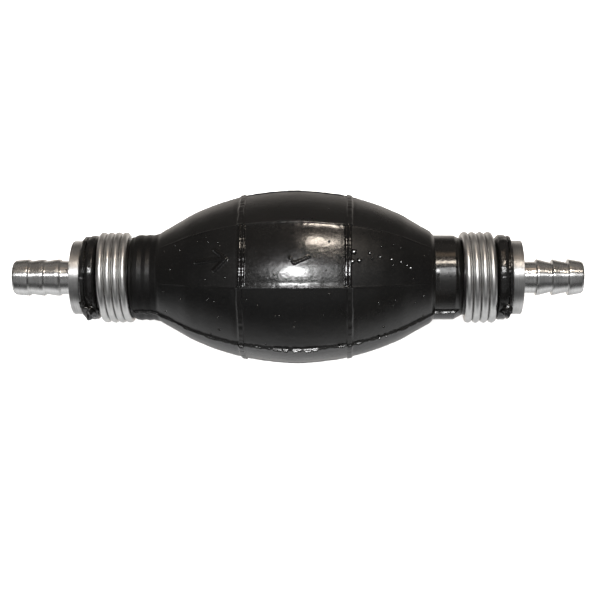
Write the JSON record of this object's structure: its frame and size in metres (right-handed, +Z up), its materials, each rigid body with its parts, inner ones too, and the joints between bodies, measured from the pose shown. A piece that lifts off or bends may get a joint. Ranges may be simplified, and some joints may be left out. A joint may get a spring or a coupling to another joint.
{
  "type": "siphon bulb pump",
  "caption": "Hand squeeze bulb pump: a ribbed rubber bulb with a barbed hose fitting and a check valve in each neck, held by coiled wire clamps.",
  "frame": {"origin": "on the pump axis, midway between the two hose tips, which is the centre of the bulb", "axes": "+X along the pump axis in the direction of flow, from inlet to outlet; +Z up as the pump lies on a flat panel of its bulb"},
  "size_m": [0.165, 0.0478, 0.0478],
  "materials": {
    "bulb_rubber": "moulded gloss black",
    "fitting_aluminium": "turned, bare",
    "clamp_wire": "bright drawn wire",
    "valve_acetal": "moulded, natural",
    "seal_nitrile": "moulded matte black",
    "spring_steel": "bright stainless wire and strip"
  },
  "bodies": {
    "pump_body": {"bulb_body": "bulb_rubber", "inlet_fitting": "fitting_aluminium", "outlet_fitting": "fitting_aluminium", "inlet_clamp_coil": "clamp_wire", "outlet_clamp_coil": "clamp_wire", "inlet_valve_housing": "valve_acetal", "outlet_valve_housing": "valve_acetal", "inlet_valve_housing_o_ring": "seal_nitrile", "outlet_valve_housing_o_ring": "seal_nitrile", "inlet_valve_spring": "spring_steel", "outlet_valve_spring": "spring_steel", "inlet_valve_guide": "valve_acetal", "outlet_valve_guide": "valve_acetal", "inlet_retaining_ring": "spring_steel", "outlet_retaining_ring": "spring_steel"},
    "wall_front": {"bulb_wall_front": "bulb_rubber"},
    "wall_rear": {"bulb_wall_rear": "bulb_rubber"},
    "inlet_poppet": {"inlet_valve_poppet": "valve_acetal", "inlet_poppet_seal": "seal_nitrile"},
    "outlet_poppet": {"outlet_valve_poppet": "valve_acetal", "outlet_poppet_seal": "seal_nitrile"}
  },
  "joints": [
    {"name": "squeeze_front", "type": "slide", "parent": "pump_body", "child": "wall_front", "axis": [0, 1, 0], "range_m": [0, 0.008], "stiffness_N_per_m": 2500},
    {"name": "squeeze_rear", "type": "slide", "parent": "pump_body", "child": "wall_rear", "axis": [0, -1, 0], "range_m": [0, 0.008], "stiffness_N_per_m": 2500},
    {"name": "inlet_valve_lift", "type": "slide", "parent": "pump_body", "child": "inlet_poppet", "axis": [1, 0, 0], "range_m": [0, 0.002], "stiffness_N_per_m": 60, "springref_m": -0.002, "deforming": ["inlet_valve_spring"]},
    {"name": "outlet_valve_lift", "type": "slide", "parent": "pump_body", "child": "outlet_poppet", "axis": [1, 0, 0], "range_m": [0, 0.002], "stiffness_N_per_m": 60, "springref_m": -0.002, "deforming": ["outlet_valve_spring"]}
  ],
  "couplings": [
    {"joint": "squeeze_rear", "follows": "squeeze_front", "ratio": 1}
  ]
}
